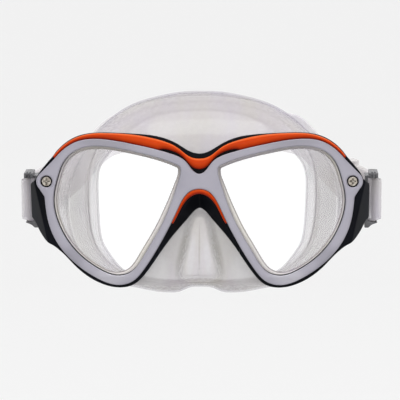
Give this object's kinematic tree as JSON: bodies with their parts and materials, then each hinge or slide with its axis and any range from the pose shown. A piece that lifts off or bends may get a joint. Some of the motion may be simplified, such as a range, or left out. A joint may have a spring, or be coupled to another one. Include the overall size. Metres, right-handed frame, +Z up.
{
  "type": "diving mask",
  "caption": "Two-lens diving mask: clamped bezel on a dark frame, clear face skirt with nose pocket, and a head strap on swivelling buckles with release levers.",
  "frame": {"origin": "on the middle plane, where the bridge of the wearer's nose meets the face seal's surface", "axes": "+X towards the wearer's left, +Y towards the back of the head, +Z up; the lenses face -Y"},
  "size_m": [0.18, 0.1469, 0.1018],
  "materials": {
    "black_plastic": "satin moulded",
    "silver": "satin lacquer",
    "orange": "gloss moulded",
    "clear_glass": "polished",
    "clear_silicone": "smooth translucent",
    "steel": "machined",
    "brass": "machined",
    "nylon": "matte",
    "smoke_plastic": "gloss translucent"
  },
  "bodies": {
    "mask": {"main_frame": "black_plastic", "front_bezel": "silver", "brow_trim": "orange", "nose_arch_trim": "orange", "lens_left": "clear_glass", "lens_right": "clear_glass", "skirt": "clear_silicone", "bezel_screws": "steel", "bezel_screw_inserts": "brass", "pivot_screws": "steel", "pivot_screw_inserts": "brass", "pivot_washers": "nylon"},
    "strap": {"strap": "clear_silicone", "strap_keeper_left": "clear_silicone", "strap_keeper_right": "clear_silicone"},
    "buckle_left": {"buckle_base_left": "smoke_plastic", "strap_pin_left": "steel", "lever_pin_left": "steel", "lever_spring_left": "steel"},
    "lever_left": {"release_lever_left": "smoke_plastic"},
    "buckle_right": {"buckle_base_right": "smoke_plastic", "strap_pin_right": "steel", "lever_pin_right": "steel", "lever_spring_right": "steel"},
    "lever_right": {"release_lever_right": "smoke_plastic"}
  },
  "joints": [
    {"name": "strap_swing", "type": "hinge", "parent": "mask", "child": "strap", "pos_m": [0, 0, -0.0036], "axis": [1, 0, 0], "range_deg": [-25, 30]},
    {"name": "buckle_left_swivel", "type": "hinge", "parent": "mask", "child": "buckle_left", "pos_m": [0.0835, 0, -0.0036], "axis": [1, 0, 0], "range_deg": [-25, 30]},
    {"name": "release_lever_left", "type": "hinge", "parent": "buckle_left", "child": "lever_left", "pos_m": [0.0864, 0.00148, 0.01062], "axis": [0, -0.2079, 0.9781], "range_deg": [0, 12], "stiffness_Nm_per_rad": 0.02},
    {"name": "buckle_right_swivel", "type": "hinge", "parent": "mask", "child": "buckle_right", "pos_m": [-0.0835, 0, -0.0036], "axis": [1, 0, 0], "range_deg": [-25, 30]},
    {"name": "release_lever_right", "type": "hinge", "parent": "buckle_right", "child": "lever_right", "pos_m": [-0.0864, 0.00148, 0.01062], "axis": [0, 0.2079, -0.9781], "range_deg": [0, 12], "stiffness_Nm_per_rad": 0.02}
  ],
  "couplings": [
    {"joint": "buckle_left_swivel", "follows": "strap_swing", "ratio": 1},
    {"joint": "buckle_right_swivel", "follows": "strap_swing", "ratio": 1}
  ]
}
